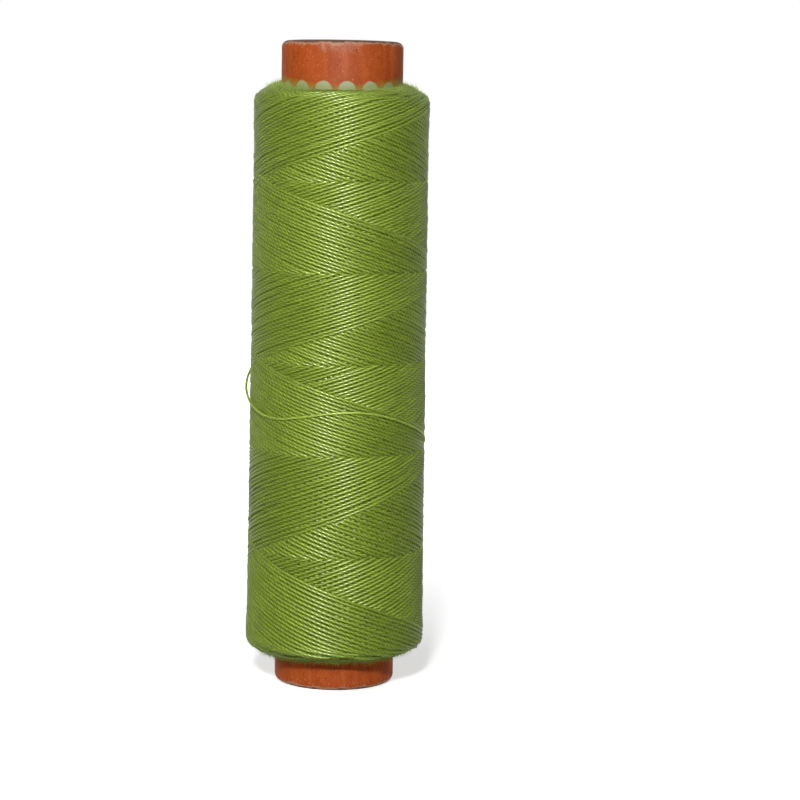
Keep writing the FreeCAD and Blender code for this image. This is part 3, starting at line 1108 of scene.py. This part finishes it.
def rubbed_mask(tree, corner, fleck):
    """The rubbed band at the corner of the rim, with loose spots beside it."""
    spotted = times(tree, step_mask(tree, corner, *SPOTTED_FADE), fleck)
    return maths(tree, "MAXIMUM", step_mask(tree, corner, *RUBBED_FADE), spotted)


def wrap_material():
    material, tree, shader = new_material("orange_wrap")
    place = add_node(tree, "TexCoord").outputs["Object"]
    angle, height, from_end, inward = tube_readings(tree, place)
    stretched = add_node(tree, "Mapping", {0: place, "Scale": FIBRE_STRETCH}).outputs[0]
    drawn_out = add_node(tree, "Mapping", {0: place, "Scale": STREAK_STRETCH}).outputs[0]
    mottle, fibre, fleck = place_fibres(tree, stretched, WRAP_FIBRES)
    patchy = noise(tree, place, PATCHY_SCALE)
    specks = add_node(tree, "TexVoronoi", {"Vector": place, "Scale": SPECK_SCALE}).outputs["Distance"]
    grain = maths(tree, "MAXIMUM", fibre, step_mask(tree, mottle, *GRAIN_FADE))
    corner = made_uneven(tree, maths(tree, "SUBTRACT", inward, from_end), patchy, CORNER_RAGGED)
    layers = [
        (mottle, (0.30, 0.70), 1.0, PAPER_ORANGE),
        (noise(tree, drawn_out, STREAK_SCALE, Roughness=0.5), (0.45, 0.75), 0.20, PAPER_PALE),
        (patchy, (0.55, 0.38), 0.35, PAPER_DEEP),
        (fibre, None, 0.24, PAPER_PALE),
        (fleck, None, 0.65, PAPER_PALE),
        (specks, (0.110, 0.060), 1.0, DARK_SPECK),
        (border_mask(tree, angle, height, patchy), None, 1.0, INK_WHITE),
        (lint_and_glow_mask(tree, angle, height, fibre), None, 0.50, LINT_AND_GLOW_GREEN),
        (worn_patch_mask(tree, angle, height, grain), None, 1.0, PAPER_WORN),
        (rubbed_mask(tree, corner, fleck), None, 0.85, PAPER_WORN),
        (corner, (-0.30, 0.05), 1.0, RIM_TURN_DARK),
    ]
    colour = lay_over(tree, PAPER_DEEP, layers)
    matt = times(tree, patchy, PATCHY_ROUGHER, WRAP_ROUGHNESS)
    feed(tree, shader, {"Base Color": colour, "Roughness": matt, "Specular IOR Level": 0.03})
    relief = times(tree, fibre, FIBRE_HEIGHT, times(tree, patchy, PATCHY_HEIGHT))
    bump(tree, shader, relief, depth_mm=0.035, strength=0.8)
    return material


dress(wrap_material(), "outer_wrap")

# %% [markdown]
# The board is grey-brown and shows only as the rim's face. The liner is dark kraft paper that shows down the
# bore, and frayed where it was cut at the ends: the fray catches the light as a pale tan line. Both are
# stacks like the wrap's, with the same group at their own fibre size.

# %% Board and liner finish
BOARD_DARK = (0.085, 0.050, 0.030)
BOARD_BROWN = (0.190, 0.120, 0.075)
BOARD_PALE = (0.400, 0.300, 0.200)
LINER_DARK = (0.040, 0.028, 0.009)
LINER_OLIVE = (0.100, 0.076, 0.032)
LINER_FIBRE = (0.260, 0.210, 0.120)
LINER_CUT = (0.420, 0.330, 0.190)
BOARD_FIBRES, LINER_FIBRES = 5200.0, 2600.0
BOARD_FIBRE_HEIGHT, LINER_FIBRE_HEIGHT = 0.4, 0.5
LINER_ROUGHNESS, MOTTLE_ROUGHER = 0.40, 0.3
CUT_RAGGED = 1.4


def board_material():
    material, tree, shader = new_material("tube_board")
    place = add_node(tree, "TexCoord").outputs["Object"]
    mottle, fibre, fleck = place_fibres(tree, place, BOARD_FIBRES)
    layers = [
        (mottle, (0.32, 0.68), 1.0, BOARD_BROWN),
        (fibre, None, 0.55, BOARD_PALE),
        (fleck, None, 0.70, BOARD_PALE),
    ]
    colour = lay_over(tree, BOARD_DARK, layers)
    feed(tree, shader, {"Base Color": colour, "Roughness": 0.85, "Specular IOR Level": 0.2})
    bump(tree, shader, times(tree, fibre, BOARD_FIBRE_HEIGHT, mottle), depth_mm=0.10)
    return material


def liner_material():
    material, tree, shader = new_material("kraft_liner")
    place = add_node(tree, "TexCoord").outputs["Object"]
    _, _, from_end, _ = tube_readings(tree, place)
    mottle, fibre, fleck = place_fibres(tree, place, LINER_FIBRES)
    layers = [
        (mottle, (0.32, 0.68), 1.0, LINER_OLIVE),
        (fibre, None, 0.45, LINER_FIBRE),
        (fleck, None, 0.60, LINER_FIBRE),
        (made_uneven(tree, from_end, mottle, CUT_RAGGED), (0.45, 0.10), 1.0, LINER_CUT),
    ]
    matt = times(tree, mottle, MOTTLE_ROUGHER, LINER_ROUGHNESS)
    colour = lay_over(tree, LINER_DARK, layers)
    feed(tree, shader, {"Base Color": colour, "Roughness": matt, "Specular IOR Level": 0.3})
    bump(tree, shader, times(tree, fibre, LINER_FIBRE_HEIGHT, mottle), depth_mm=0.07)
    return material


dress(board_material(), "inner_board_ply", "second_board_ply", "third_board_ply", "outer_board_ply")
dress(liner_material(), "liner_ply")
